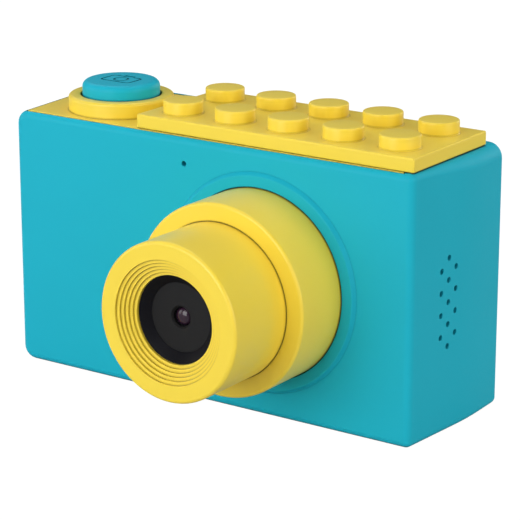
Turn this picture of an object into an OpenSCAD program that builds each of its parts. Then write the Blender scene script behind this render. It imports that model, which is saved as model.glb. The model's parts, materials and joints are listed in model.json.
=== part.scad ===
// Kids digital camera: a two-shell case with a building-brick top, a fixed two-step lens barrel
// and a round shutter button. Origin: middle of the underside. The lens looks along -Y, +Z is up,
// and +X is to the right when the lens faces the viewer.

/* [Case] */
// Width of the case at its front face
body_w = 80; // [78:0.5:84]
// Height of the case without the brick plate
body_h = 45.15; // [45:0.05:47]
// Depth of the case without the lens barrel
body_d = 27.2; // [27:0.1:29]
// Depth of the front shell, up to the joint line
front_d = 17.6; // [17.2:0.1:17.7]
// How far each side leans outwards between the front face and the joint line
side_draft = 1.2; // [0.8:0.05:1.4]
// Wall thickness of both shells
wall = 1.6; // [1.4:0.1:1.8]
// Radius of the left case corners seen from the front
corner_r = 2.4; // [2.2:0.1:2.6]
// Radius of the lower right case corner seen from the front
right_r = 1.4; // [1.2:0.1:2.4]
// Radius of the rounded edge round the front face
edge_r = 1; // [0.8:0.1:1.2]

/* [Brick plate] */
// Width of the raised brick plate
plate_w = 53.8; // [53:0.1:54]
// Depth of the raised brick plate
plate_d = 22.8; // [22.4:0.1:23]
// Thickness of the raised brick plate
plate_h = 2.4; // [2:0.1:3]
// Distance from one stud to the next along the width
stud_pitch_x = 10.56; // [10:0.02:10.8]
// Distance between the two rows of studs
stud_pitch_y = 12; // [10.5:0.1:12.2]
// Diameter of a stud
stud_dia = 6.7; // [5:0.1:7.4]
// Height of a stud
stud_h = 2.2; // [1.5:0.1:2.6]

/* [Shutter] */
// Outer diameter of the collar round the shutter button
collar_dia = 18.2; // [17.6:0.1:18.6]
// Height of the collar
collar_h = 2.7; // [2.4:0.1:3]
// Diameter of the shutter button
button_dia = 13.4; // [12.6:0.1:13.6]
// Height of the button above its collar
button_h = 2.4; // [2:0.1:2.8]
// Travel of the shutter button
shutter_travel = 1; // [0.6:0.1:1]

/* [Lens] */
// Distance of the lens axis from the middle of the case
lens_x = 11.3; // [10.5:0.1:11.5]
// Height of the lens axis
lens_z = 22.8; // [22.5:0.1:23.2]
// Outer diameter of the wide barrel
outer_dia = 32.2; // [31.6:0.2:33]
// Length of the wide barrel in front of the case
outer_len = 11.6; // [11:0.1:12]
// Outer diameter of the narrow barrel
inner_dia = 26.1; // [25.6:0.1:26.6]
// Distance of the front rim from the case
rim_len = 25.3; // [25:0.1:26]

/* [Hidden] */

$fn = 64;
cut = 0.01; // overlap of a cutting tool with the face it opens
half_w = body_w / 2;
wide_w = half_w + side_draft; // half width at the joint line
back_w = wide_w - 0.2; // half width at the back face
front_y = -body_d / 2;
back_y = body_d / 2;
joint_y = front_y + front_d;
rear_rise = 0.2; // how far the underside of the rear shell rises towards the back
rear_edge_r = 1.2;
tight_r = 1.2; // radius of the top right corner at the front face, beside the brick plate
wide_r = 2.2; // radius of the same corner from the joint line to the back

// Top inlay and brick plate
inlay_edge = corner_r - 0.3; // distance from the left side of the case to the inlay
inlay_right = half_w - 2.4;
inlay_front = front_y + 1.05;
inlay_back = back_y - 1.7;
inlay_t = 1.6;
inlay_gap = 0.1;
plate_right = 39.4;
plate_left = plate_right - plate_w;
plate_front = front_y + 1.05;
plate_x = (plate_left + plate_right) / 2;
plate_y = plate_front + plate_d / 2;
plate_top = body_h + plate_h;
stud_cols = 5;
stud_rows = 2;
stud_round = 0.3;
peg_x = 20;
peg_r = 1.5;

// Shutter
shutter_x = -25.6;
shutter_y = front_y + 11.4;
collar_top = body_h + collar_h;
button_top = collar_top + button_h;
button_clear = 0.3;
collar_round = 0.8;
button_round = 1.2;
flange_dia = button_dia + 1.2;
flange_t = 1.2;
flange_top = collar_top - 1.1;
stem_dia = 3;
switch_top = 39.6;
board_top = 36.6;
tube_dia = flange_dia + 1.4;

// Lens
outer_r = outer_dia / 2;
inner_r = inner_dia / 2;
barrel_wall = 2;
barrel_lap = 3; // how far the narrow barrel enters the wide one
flange_r = outer_r + 2.6;
flange_len = 1.8;
boss_r = outer_r + 1.9;
boss_h = 0.45;
outer_front = front_y - outer_len;
rim_front = front_y - rim_len;
rim_round = 0.7;
cone_depth = 1.9;
cone_r = 10.1;
mouth_r = 7.25;
mouth_len = 0.5; // straight stretch behind the last step
cone_steps = 5;
shroud_front = rim_front + cone_depth + mouth_len;
shroud_depth = 1.3;
disc_r = 5.65;
module_front = shroud_front + shroud_depth;

// Boards and screen
board_y = front_y + 20.6;
board_t = 1.2;
board_back = board_y + board_t;
lcd_x = 8.5;
lcd_z = 23.5;
lcd_w = 46.6;
lcd_h = 34.6;
lcd_t = 2.4;
lcd_y = back_y - wall - 0.4 - lcd_t;
window_w = 50;
window_h = 37.6;
window_r = 3;
window_t = 1;
view_w = 43;
view_h = 32.4;

// Rear buttons: [x, z, diameter]
key_x = -28;
key_z = 23;
key_reach = 7;
key_dia = 5;
small_key_dia = 5;
key_travel = 0.5;
key_proud = 0.9;
key_flange = 0.7;
key_clear = 0.25;
corner_key_z = 14;
keys = [
  [key_x, key_z + key_reach, key_dia],
  [key_x, key_z - key_reach, key_dia],
  [key_x + key_reach, key_z, key_dia],
  [key_x - key_reach, key_z, key_dia],
  [key_x, key_z, key_dia + 1],
  [key_x + 5.6, key_z + corner_key_z, small_key_dia],
  [key_x + 5.6, key_z - corner_key_z, small_key_dia]
];
key_switch_h = 2.4;
light_x = key_x - 1.6;
light_z = key_z + corner_key_z + 2;
light_dia = 2;

// Ports in the left wall, seen from the front
usb_z = 31.5;
usb_w = 7.6;
usb_h = 2.6;
usb_y = board_back + usb_h / 2;
card_z = 17;
card_socket_h = 1.9;
card_y = board_y - card_socket_h / 2;
card_w = 11;
card_t = 1;
card_len = 15;
cover_w = 11;
cover_h = 4.6;
cover_t = 1;
cover_gap = 0.15;
cover_x = -wide_w + 0.1; // outer face of the cover
hinge_x = cover_x + cover_t / 2;
hinge_y = usb_y - cover_h / 2 + cover_t / 2;
pivot_r = 0.25;
pivot_len = 0.4;
pivot_gap = 0.08;
thumb_r = 1.7;

// Screws
screw_x = 36.4;
screw_z_low = 4.2;
screw_z_high = 39.6;
screw_points = [
  [-screw_x, screw_z_low], [screw_x, screw_z_low],
  [-screw_x, screw_z_high], [screw_x, screw_z_high]
];
screw_r = 1;
screw_head_r = 1.8;
screw_head_t = 1.2;
screw_len = 16;
screw_post_r = 2.7;
barrel_screw_angles = [30, 150, 270];
barrel_screw_r = outer_r + 1.4;
board_screw_points = [[-18.5, 4.2], [34.8, 13], [-17.5, 41]];
post_r = 1.8;

// Speaker holes in the right wall
grille_y = front_y + 10.5;
grille_z = 22.2;
grille_pitch = 3.7;
grille_step = 2;
grille_hole = 1;
speaker_dia = 16;
speaker_t = 4;

// Microphone behind a hole in the front wall
mic_x = -3.9;
mic_z = 40.7;
mic_hole_r = 0.45;

// Colours
teal = [0.17, 0.71, 0.79];
yellow = [0.98, 0.83, 0.25];

// A cylinder of radius r from point y0 towards +Y
module y_rod(x, z, r, y0, len) {
  translate([x, y0 + len, z]) rotate([90, 0, 0]) cylinder(r = r, h = len);
}

// A box with round corners seen from the front, from y0 towards +Y
module y_slab(x, z, w, h, r, y0, len) {
  translate([x, y0 + len, z]) rotate([90, 0, 0]) linear_extrude(len) {
    square([w - 2 * r, h], center = true);
    square([w, h - 2 * r], center = true);
    for (i = [-1, 1], j = [-1, 1])
      translate([i * (w / 2 - r), j * (h / 2 - r)]) circle(r);
  }
}

// The four case corners as [x, z, radius] at half width w, between heights low and high.
// left, lower and upper are the radii of the left, the lower right and the upper right corners.
function corners(w, low, high, left, lower, upper) = [
  [-w + left, low + left, left],
  [w - lower, low + lower, lower],
  [-w + left, high - left, left],
  [w - upper, high - upper, upper]
];

// A disc of radius r seen from the front, with a fully rounded rim of radius edge
module round_disc(r, edge) {
  rotate([90, 0, 0]) rotate_extrude($fn = 32)
    intersection() {
      translate([r - edge, 0]) circle(edge, $fn = 24);
      translate([0, -edge]) square([r, 2 * edge]);
    }
}

// Outer form of the front shell: rounded front edge, sides leaning out to the joint line
module front_form() {
  hull() {
    for (c = corners(half_w, 0, body_h, corner_r, right_r, tight_r))
      translate([c[0], front_y + edge_r, c[1]]) round_disc(c[2], edge_r);
    for (c = corners(wide_w, 0, body_h, corner_r, right_r, wide_r))
      y_rod(c[0], c[1], c[2], joint_y - 0.4, 0.4, $fn = 32);
  }
}

// Outer form of the rear shell: its underside rises a little towards the back
module rear_form() {
  hull() {
    for (c = corners(wide_w, 0, body_h, corner_r, right_r, wide_r))
      y_rod(c[0], c[1], c[2], joint_y, 0.2, $fn = 32);
    for (c = corners(back_w, rear_rise, body_h, corner_r, right_r, wide_r))
      translate([c[0], back_y - rear_edge_r, c[1]]) round_disc(c[2], rear_edge_r);
  }
}

// Room inside a shell, from depth y0 with half width w0 to depth y1 with half width w1
module shell_room(y0, w0, y1, w1, low) {
  room_r = 1.2;
  hull() {
    for (c = corners(w0 - wall, wall, body_h - wall, room_r, room_r, room_r))
      y_rod(c[0], c[1], c[2], y0, 0.2, $fn = 24);
    for (c = corners(w1 - wall, wall + low, body_h - wall, room_r, room_r, room_r))
      y_rod(c[0], c[1], c[2], y1 - 0.2, 0.2, $fn = 24);
  }
}

// Posts for the case screws, from depth y0 to depth y1
module screw_posts(y0, y1) {
  for (p = screw_points) y_rod(p[0], p[1], screw_post_r, y0, y1 - y0);
}

// Form of the top inlay: its left edge follows the side of the case
module inlay_form(gap, height) {
  linear_extrude(height)
    polygon([
      [-half_w + inlay_edge - gap, inlay_front - gap],
      [inlay_right + gap, inlay_front - gap],
      [inlay_right + gap, inlay_back + gap],
      [-back_w + inlay_edge - gap, inlay_back + gap],
      [-wide_w + inlay_edge - gap, joint_y]
    ]);
}

// Room for the top inlay, cut from both shells
module inlay_room() {
  translate([0, 0, body_h - inlay_t - inlay_gap]) inlay_form(inlay_gap, 3 * inlay_t);
}

// Centres of the speaker holes as [y, z]: five in the middle column and four on each side
function grille_points() = concat(
  [for (k = [-2:2]) [grille_y, grille_z + k * grille_pitch]],
  [for (s = [-1, 1], k = [-1.5:1:1.5]) [grille_y + s * grille_step, grille_z + k * grille_pitch]]
);

module front_shell() color(teal) {
  difference() {
    union() {
      difference() {
        front_form();
        shell_room(front_y + wall, half_w, joint_y + cut, wide_w, 0);
      }
      y_rod(lens_x, lens_z, boss_r, front_y - boss_h, boss_h + wall);
      screw_posts(front_y + wall / 2, joint_y);
    }
    inlay_room();
    y_rod(lens_x, lens_z, outer_r + 0.05, front_y - 5, 5 + wall + cut);
    for (a = barrel_screw_angles) translate([lens_x, 0, lens_z]) rotate([0, a, 0])
      y_rod(barrel_screw_r, 0, 0.82, front_y + wall - 0.8, 2, $fn = 24);
    y_rod(mic_x, mic_z, mic_hole_r, front_y - 1, wall + 2, $fn = 24);
    for (p = grille_points())
      translate([half_w - 5, p[0], p[1]]) rotate([0, 90, 0]) cylinder(d = grille_hole, h = 8, $fn = 24);
    for (p = screw_points)
      y_rod(p[0], p[1], screw_r, joint_y - 8, 8 + cut, $fn = 24);
  }
}

module rear_shell() color(teal) {
  difference() {
    union() {
      difference() {
        rear_form();
        shell_room(joint_y - cut, wide_w, back_y - wall, back_w, rear_rise);
      }
      screw_posts(joint_y, back_y - wall / 2);
      for (p = board_screw_points) y_rod(p[0], p[1], post_r, board_back, back_y - wall / 2 - board_back);
    }
    inlay_room();
    // Screen opening with a step that holds the window
    y_slab(lcd_x, lcd_z, window_w + 0.2, window_h + 0.2, window_r, back_y - window_t, 3);
    y_slab(lcd_x, lcd_z, view_w, view_h, 1, back_y - wall - 2, 4);
    // Button holes and the light pipe hole
    for (k = keys)
      y_rod(k[0], k[1], k[2] / 2 + key_clear, back_y - wall - 1, wall + 2);
    y_rod(light_x, light_z, light_dia / 2, back_y - wall - 1, wall + 2, $fn = 24);
    // Screws and their heads
    for (p = screw_points) {
      y_rod(p[0], p[1], screw_r + 0.2, joint_y - cut, body_d, $fn = 24);
      y_rod(p[0], p[1], screw_head_r + 0.2, back_y - screw_head_t - 1, 5, $fn = 32);
    }
    for (p = board_screw_points) y_rod(p[0], p[1], 0.82, board_back - cut, 3.2, $fn = 24);
    // Memory card slot, with a thumb notch
    translate([-wide_w - 1, card_y - card_t / 2 - 0.3, card_z - card_w / 2 - 0.3])
      cube([4, card_t + 0.6, card_w + 0.6]);
    translate([-wide_w - 1.2, card_y, card_z]) rotate([0, 90, 0]) cylinder(r = thumb_r, h = 1.8);
    // Socket opening and the seat of its cover
    translate([-wide_w - 1, usb_y - usb_h / 2 - 0.3, usb_z - usb_w / 2 - 0.3])
      cube([4, usb_h + 0.6, usb_w + 0.6]);
    translate([-wide_w - 2, usb_y - cover_h / 2 - cover_gap, usb_z - cover_w / 2 - cover_gap])
      cube([cover_t + 2.2, cover_h + 2 * cover_gap, cover_w + 2 * cover_gap]);
    translate([hinge_x, hinge_y, usb_z - cover_w / 2 - pivot_len - pivot_gap])
      cylinder(r = pivot_r + pivot_gap, h = cover_w + 2 * (pivot_len + pivot_gap), $fn = 24);
  }
}

module top_cover() color(yellow) {
  difference() {
    union() {
      translate([0, 0, body_h - inlay_t]) inlay_form(0, inlay_t);
      translate([shutter_x, shutter_y, board_top]) cylinder(d = tube_dia, h = body_h - board_top - 0.5);
    }
    translate([shutter_x, shutter_y, board_top - 1]) cylinder(d = flange_dia + 0.6, h = 12);
    // Holes for the pegs of the brick plate
    for (s = [-1, 1])
      translate([plate_x + s * peg_x, plate_y, body_h - 3]) cylinder(r = peg_r + 0.05, h = 4);
  }
}

module stud() {
  rotate_extrude()
    union() {
      square([stud_dia / 2 - stud_round, stud_h]);
      square([stud_dia / 2, stud_h - stud_round]);
      translate([stud_dia / 2 - stud_round, stud_h - stud_round]) circle(stud_round, $fn = 24);
    }
}

module brick_plate() color(yellow) {
  translate([plate_left, plate_front, body_h]) cube([plate_w, plate_d, plate_h]);
  for (i = [0:stud_cols - 1], j = [0:stud_rows - 1])
    translate([plate_x + (i - (stud_cols - 1) / 2) * stud_pitch_x,
               plate_y + (j - (stud_rows - 1) / 2) * stud_pitch_y, plate_top - cut]) stud();
  for (s = [-1, 1])
    translate([plate_x + s * peg_x, plate_y, body_h - inlay_t]) cylinder(r = peg_r, h = inlay_t + cut);
}

module shutter_collar() color(yellow) {
  translate([shutter_x, shutter_y, 0]) rotate_extrude()
    difference() {
      union() {
        translate([0, body_h]) square([collar_dia / 2 - collar_round, collar_h]);
        translate([0, body_h]) square([collar_dia / 2, collar_h - collar_round]);
        translate([collar_dia / 2 - collar_round, collar_top - collar_round])
          circle(collar_round, $fn = 32);
      }
      square([button_dia / 2 + button_clear, collar_top + 1]);
      square([flange_dia / 2 + button_clear, flange_top + 0.1]);
    }
}

module shutter_button() color(teal) {
  cap_r = button_dia / 2;
  translate([shutter_x, shutter_y, 0]) {
    rotate_extrude()
      union() {
        translate([0, flange_top - flange_t]) square([flange_dia / 2, flange_t]);
        translate([0, flange_top - cut]) square([cap_r, button_top - button_round - flange_top]);
        translate([0, flange_top - cut]) square([cap_r - button_round, button_top - flange_top + cut]);
        translate([cap_r - button_round, button_top - button_round]) circle(button_round, $fn = 32);
      }
    translate([0, 0, switch_top + 0.1])
      cylinder(d = stem_dia, h = flange_top - flange_t - switch_top);
  }
}

module shutter_spring() color("silver") {
  spring_low = board_top;
  spring_high = flange_top - flange_t;
  difference() {
    translate([shutter_x, shutter_y, spring_low]) cylinder(d = 11, h = spring_high - spring_low);
    translate([shutter_x, shutter_y, spring_low - 1]) cylinder(d = 10, h = spring_high - spring_low + 2);
  }
}

module shutter_switch() color("dimgray") {
  switch_h = 1.5;
  translate([shutter_x - 3, shutter_y - 3, board_top]) cube([6, 6, switch_h]);
  translate([shutter_x, shutter_y, board_top + switch_h - cut])
    cylinder(d = 3, h = switch_top - shutter_travel - board_top - switch_h);
}

module shutter_board() color("seagreen") {
  translate([shutter_x - 9, shutter_y - 7, board_top - 1]) cube([18, 14, 1]);
}

module lens_outer_barrel() color(yellow) {
  difference() {
    union() {
      translate([lens_x, front_y + wall, lens_z]) rotate([90, 0, 0]) rotate_extrude()
        union() {
          square([outer_r - rim_round, outer_len + wall]);
          square([outer_r, outer_len + wall - rim_round]);
          translate([outer_r - rim_round, outer_len + wall - rim_round]) circle(rim_round, $fn = 32);
        }
      y_rod(lens_x, lens_z, flange_r, front_y + wall, flange_len);
    }
    y_rod(lens_x, lens_z, inner_r + 0.05, outer_front - 1, barrel_lap + 1);
    y_rod(lens_x, lens_z, inner_r - barrel_wall, outer_front, outer_len + wall + flange_len + 1);
    for (a = barrel_screw_angles)
      translate([lens_x, 0, lens_z]) rotate([0, a, 0])
        y_rod(barrel_screw_r, 0, 0.9, front_y, wall + flange_len + 1, $fn = 24);
  }
}

module lens_inner_barrel() color(yellow) {
  translate([lens_x, rim_front, lens_z]) rotate([-90, 0, 0]) rotate_extrude()
    difference() {
      union() {
        translate([0, rim_round]) square([inner_r, rim_len - outer_len + barrel_lap - rim_round]);
        square([inner_r - rim_round, rim_round + cut]);
        translate([inner_r - rim_round, rim_round]) circle(rim_round, $fn = 32);
      }
      translate([0, cone_depth - cut]) square([mouth_r, 30]);
      for (k = [0:cone_steps - 1])
        translate([0, cone_depth * k / cone_steps - cut])
          square([cone_r - (cone_r - mouth_r) * k / cone_steps, cone_depth / cone_steps + 2 * cut]);
      translate([0, cone_depth + 4]) square([inner_r - barrel_wall, 30]);
      translate([0, -1]) square([cone_r, 1 + cut]);
    }
}

module lens_shroud() color([0.1, 0.1, 0.1]) {
  translate([lens_x, shroud_front, lens_z]) rotate([-90, 0, 0])
    difference() {
      cylinder(r = mouth_r - 0.05, h = 3.6);
      translate([0, 0, -cut])
        cylinder(r1 = mouth_r - 0.3, r2 = disc_r + 0.05, h = shroud_depth + 2 * cut);
      translate([0, 0, shroud_depth]) cylinder(r = disc_r + 0.05, h = 3);
    }
}

module lens_disc() color([0.16, 0.16, 0.17]) {
  difference() {
    y_rod(lens_x, lens_z, disc_r, module_front, 0.8);
    y_rod(lens_x, lens_z, 1.9, module_front - 1, 3, $fn = 32);
  }
}

module lens_holder() color([0.08, 0.08, 0.08]) {
  difference() {
    union() {
      y_rod(lens_x, lens_z, 4.2, module_front + 0.8, 4.4);
      translate([lens_x - 5, module_front + 5.1, lens_z - 5]) cube([10, 3.1, 10]);
    }
    y_rod(lens_x, lens_z, 1.5, module_front, 3.4, $fn = 32);
    y_rod(lens_x, lens_z, 2.6, module_front + 2.6, 4, $fn = 32);
    translate([lens_x - 4, module_front + 6.4, lens_z - 4]) cube([8, 3, 8]);
  }
}

module front_lens() color([0.4, 0.35, 0.5]) {
  intersection() {
    y_rod(lens_x, lens_z, 1.45, module_front + 0.1, 2, $fn = 32);
    translate([lens_x, module_front + 2.6, lens_z]) sphere(2.4);
  }
}

module inner_lens() color([0.4, 0.4, 0.5]) {
  y_rod(lens_x, lens_z, 2.5, module_front + 3.5, 1.4, $fn = 32);
}

module ir_filter() color([0.4, 0.6, 0.6]) {
  y_rod(lens_x, lens_z, 2.5, module_front + 5.4, 0.4, $fn = 32);
}

module image_sensor() color([0.2, 0.2, 0.25]) {
  translate([lens_x - 3.2, module_front + 7, lens_z - 3.2]) cube([6.4, 1.2, 6.4]);
}

module sensor_board() color("seagreen") {
  y_rod(lens_x, lens_z, 9, module_front + 8.2, 1);
}

module sensor_flex() color("peru") {
  flex_y = module_front + 9.2;
  translate([lens_x - 4, flex_y, lens_z - 6]) cube([8, board_y - flex_y, 0.2]);
}

module main_board() color("seagreen") {
  difference() {
    translate([-37.6, board_y, 2.6]) cube([75.2, board_t, 40]);
    for (p = screw_points) y_rod(p[0], p[1], 4.1, board_y - 1, board_t + 2);
    for (p = board_screw_points) y_rod(p[0], p[1], 0.9, board_y - 1, board_t + 2, $fn = 24);
  }
}

module processor() color([0.15, 0.15, 0.17]) {
  translate([lens_x + 5, board_y - 1, 16]) cube([10, 1, 10]);
}

module battery() color("lightsteelblue") {
  translate([-31, front_y + 3.4, 4.5]) cube([25, 6, 30]);
}

module speaker() color([0.2, 0.2, 0.2]) {
  translate([half_w - wall - speaker_t - 0.1, grille_y, grille_z]) rotate([0, 90, 0])
    cylinder(d = speaker_dia, h = speaker_t);
}

module microphone() color("silver") {
  y_rod(mic_x, mic_z, 2, front_y + wall, 2, $fn = 32);
}

module lcd_panel() color([0.1, 0.1, 0.12]) {
  translate([lcd_x - lcd_w / 2, lcd_y, lcd_z - lcd_h / 2]) cube([lcd_w, lcd_t, lcd_h]);
}

module lcd_frame() color([0.85, 0.85, 0.85]) {
  frame_t = lcd_y - board_back;
  difference() {
    translate([lcd_x - lcd_w / 2, board_back, lcd_z - lcd_h / 2]) cube([lcd_w, frame_t, lcd_h]);
    translate([lcd_x - lcd_w / 2 + 2, board_back - 1, lcd_z - lcd_h / 2 + 2])
      cube([lcd_w - 4, frame_t + 2, lcd_h - 4]);
  }
}

module lcd_flex() color("peru") {
  translate([lcd_x - 6, board_back, lcd_z - 12]) cube([12, lcd_y - board_back, 0.2]);
}

module screen_window() color([0.05, 0.05, 0.06]) {
  y_slab(lcd_x, lcd_z, window_w, window_h, window_r - 0.1, back_y - window_t, window_t - 0.1);
}

module usb_socket() color("silver") {
  socket_x = -back_w + wall + 0.2;
  skin = 0.3;
  difference() {
    translate([socket_x, usb_y - usb_h / 2, usb_z - usb_w / 2]) cube([5.4, usb_h, usb_w]);
    translate([socket_x - 1, usb_y - usb_h / 2 + skin, usb_z - usb_w / 2 + skin])
      cube([5.8, usb_h - 2 * skin, usb_w - 2 * skin]);
  }
  translate([socket_x + 0.6, usb_y - 0.3, usb_z - 2.6]) cube([4.5, 0.6, 5.2]);
}

module usb_cover() color([0.15, 0.65, 0.73]) {
  z0 = usb_z - cover_w / 2;
  translate([cover_x, hinge_y, z0]) cube([cover_t, cover_h - cover_t / 2, cover_w]);
  // Round hinge edge with a pivot stub at each end
  translate([hinge_x, hinge_y, z0]) cylinder(d = cover_t, h = cover_w, $fn = 32);
  translate([hinge_x, hinge_y, z0 - pivot_len])
    cylinder(r = pivot_r, h = cover_w + 2 * pivot_len, $fn = 24);
  // Raised rib for a fingernail, along the free edge
  translate([cover_x - 0.4, usb_y + cover_h / 2 - 1.2, usb_z - cover_w / 4])
    cube([0.4 + cut, 0.8, cover_w / 2]);
}

module card_socket() color("silver") {
  socket_x = -wide_w + wall + 0.3;
  difference() {
    translate([socket_x, board_y - card_socket_h, card_z - 6.5]) cube([15, card_socket_h, 13]);
    translate([socket_x - 1, card_y - card_t / 2 - 0.15, card_z - card_w / 2 - 0.15])
      cube([15.4, card_t + 0.3, card_w + 0.3]);
  }
}

module memory_card() color([0.12, 0.12, 0.13]) {
  translate([-wide_w + 0.9, card_y - card_t / 2, card_z - card_w / 2]) cube([card_len, card_t, card_w]);
}

// One rear button: flange inside the wall, round cap outside
module key(k) {
  y_rod(k[0], k[1], k[2] / 2, back_y - wall - 0.1, wall + 0.1 + key_proud);
  y_rod(k[0], k[1], k[2] / 2 + 0.6, back_y - wall - 0.1 - key_flange, key_flange + cut);
  y_rod(k[0], k[1], 1, board_back + key_switch_h + 0.05,
    back_y - wall - 0.1 - key_flange - board_back - key_switch_h, $fn = 24);
}

module up_button() color(yellow) key(keys[0]);
module down_button() color(yellow) key(keys[1]);
module left_button() color(yellow) key(keys[2]);
module right_button() color(yellow) key(keys[3]);
module ok_button() color(yellow) key(keys[4]);
module power_button() color(yellow) key(keys[5]);
module menu_button() color(yellow) key(keys[6]);

module rear_switches() color([0.2, 0.2, 0.2]) {
  for (k = keys) {
    translate([k[0] - 2, board_back, k[1] - 2]) cube([4, key_switch_h - key_travel - 0.5, 4]);
    y_rod(k[0], k[1], 0.9, board_back + key_switch_h - key_travel - 0.5 - cut, 0.5, $fn = 24);
  }
}

module status_light() color("white") {
  y_rod(light_x, light_z, light_dia / 2 - 0.05, board_back + 1, back_y - board_back - 1, $fn = 24);
}

// A screw whose head faces the back and ends at depth head_y
module screw(head_y, len, r, head_r, head_t) {
  y_rod(0, 0, r, head_y - len, len, $fn = 24);
  y_rod(0, 0, head_r, head_y - head_t, head_t, $fn = 32);
}

module case_screws() color("silver") {
  for (p = screw_points) translate([p[0], 0, p[1]])
    screw(back_y - 1, screw_len, screw_r - 0.02, screw_head_r, screw_head_t);
}

module barrel_screws() color("silver") {
  for (a = barrel_screw_angles) translate([lens_x, 0, lens_z]) rotate([0, a, 0])
    translate([barrel_screw_r, 0, 0])
      screw(front_y + wall + flange_len + 1, flange_len + 1.6, 0.8, 1.2, 1);
}

module board_screws() color("silver") {
  for (p = board_screw_points) translate([p[0], 0, p[1]]) {
    y_rod(0, 0, 0.8, board_y - cut, 4, $fn = 24);
    y_rod(0, 0, 1.6, board_y - 1, 1, $fn = 32);
  }
}

front_shell();
rear_shell();
top_cover();
brick_plate();
shutter_collar();
shutter_button();
shutter_spring();
shutter_switch();
shutter_board();
lens_outer_barrel();
lens_inner_barrel();
lens_shroud();
lens_disc();
lens_holder();
front_lens();
inner_lens();
ir_filter();
image_sensor();
sensor_board();
sensor_flex();
main_board();
processor();
battery();
speaker();
microphone();
lcd_panel();
lcd_frame();
lcd_flex();
screen_window();
usb_socket();
usb_cover();
card_socket();
memory_card();
up_button();
down_button();
left_button();
right_button();
ok_button();
power_button();
menu_button();
rear_switches();
status_light();
case_screws();
barrel_screws();
board_screws();
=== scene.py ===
"""Looks of the kids digital camera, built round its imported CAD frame.

Shapes are worked out in millimetres in the frame of the part (+Z up, the lens looks along -Y,
origin in the middle of the underside) and are scaled to metres when they become objects.
"""

import json
import math

import bmesh
import bpy
from mathutils import Matrix, Vector


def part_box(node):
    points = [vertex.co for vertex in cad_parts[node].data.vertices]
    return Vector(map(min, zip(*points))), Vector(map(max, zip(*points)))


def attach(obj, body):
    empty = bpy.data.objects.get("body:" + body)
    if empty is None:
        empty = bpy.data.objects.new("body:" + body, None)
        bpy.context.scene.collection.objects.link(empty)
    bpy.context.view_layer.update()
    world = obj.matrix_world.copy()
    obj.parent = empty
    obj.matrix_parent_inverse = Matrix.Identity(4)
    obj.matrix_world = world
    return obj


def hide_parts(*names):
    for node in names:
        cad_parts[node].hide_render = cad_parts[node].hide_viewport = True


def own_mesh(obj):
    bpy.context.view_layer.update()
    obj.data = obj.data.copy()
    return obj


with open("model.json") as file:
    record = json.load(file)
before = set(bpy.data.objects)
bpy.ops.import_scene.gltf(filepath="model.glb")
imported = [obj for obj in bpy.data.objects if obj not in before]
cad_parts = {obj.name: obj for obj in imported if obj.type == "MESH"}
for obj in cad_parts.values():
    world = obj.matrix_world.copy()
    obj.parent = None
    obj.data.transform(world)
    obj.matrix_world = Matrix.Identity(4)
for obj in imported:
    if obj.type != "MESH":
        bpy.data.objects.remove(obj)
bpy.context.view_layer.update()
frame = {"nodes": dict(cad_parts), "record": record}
MM = 0.001


def box_mm(node):
    """Lowest and highest corner of a CAD node in millimetres."""
    low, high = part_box(node)
    return low / MM, high / MM


# ---------------------------------------------------------------- case, in mm
CAD_BOSS_H = 0.45        # the CAD boss stands this far in front of the flat front face
FRONT_BOX = box_mm("front_shell")
REAR_BOX = box_mm("rear_shell")
FRONT_Y = FRONT_BOX[0].y + CAD_BOSS_H
JOINT_Y = FRONT_BOX[1].y
BACK_Y = REAR_BOX[1].y
TOP_Z = FRONT_BOX[1].z
WIDE_W = FRONT_BOX[1].x  # half the width at the joint of the shells
SIDE_DRAFT = 1.2         # the front face is narrower by this on each side
HALF_W = WIDE_W - SIDE_DRAFT
BACK_W = WIDE_W - 0.2    # half the width at the back
REAR_RISE = 0.2          # the underside rises by this from the joint to the back
WALL = 1.6
EDGE_R = 1.3             # rounding of the front rim
REAR_EDGE_R = 1.2        # rounding of the rear rim
LEFT_R = 2.4             # both left-hand corners of the outline
LOW_RIGHT_R = 1.15
TIGHT_R = 1.2            # top right corner at the front face
WIDE_R = 2.5             # the same corner at the joint
LEAST_R = 0.15           # the smallest corner of an inner outline
BEND = 4.0               # the sides bend softly over this depth on each side of the joint
SEAM = 0.3               # gap round the yellow inlay
INLAY_H = 1.6            # thickness of the yellow inlay
MIC_AT = (-3.9, 40.7)
MIC_R = 0.45
MIC_SLOPE = 0.08         # the mouth of the hole is wider by this
SPEAKER_DEPTH = 10.5     # middle of the speaker holes behind the front face
SPEAKER_Z = 22.2
SPEAKER_STEP = (2.0, 3.7)
SPEAKER_R = 0.5

# ---------------------------------------------------------------- lens, in mm
LENS_BOX = box_mm("lens_inner_barrel")
LENS_X = (LENS_BOX[0].x + LENS_BOX[1].x) / 2
LENS_Z = (LENS_BOX[0].z + LENS_BOX[1].z) / 2
LENS_AT = (LENS_X, 0, LENS_Z)
INNER_R = (LENS_BOX[1].x - LENS_BOX[0].x) / 2
RIM_Y = LENS_BOX[0].y
OUTER_Y = box_mm("lens_outer_barrel")[0].y
OUTER_R = 16.1
BARREL_WALL = 2.0
BARREL_FLANGE = 2.6      # the wide barrel's flange behind the front wall stands out by this
BARREL_FLANGE_H = 1.8
BARREL_SEAT = 3.0        # depth of the bore that the narrow barrel sits in
BARREL_GAP = 0.06        # between the two barrels
OUTER_ROUND = 0.5
INNER_ROUND = 0.6
BOSS_GAP = 0.1           # between the wide barrel and the boss round it
BOSS_TOP_R = 18.15
BOSS_FOOT_R = 18.7
BOSS_RISE = 0.65
CONE_R = 10.1            # the stepped cone inside the rim narrows from here
MOUTH_R = 7.25           # to here
CONE_DEPTH = 1.9
CONE_STEPS = 5
TUBE_DEPTH = 4.0         # plain bore behind the cone
DISC_R = 5.65
DISC_HOLE_R = 1.6
GLASS_R = 1.45
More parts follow.
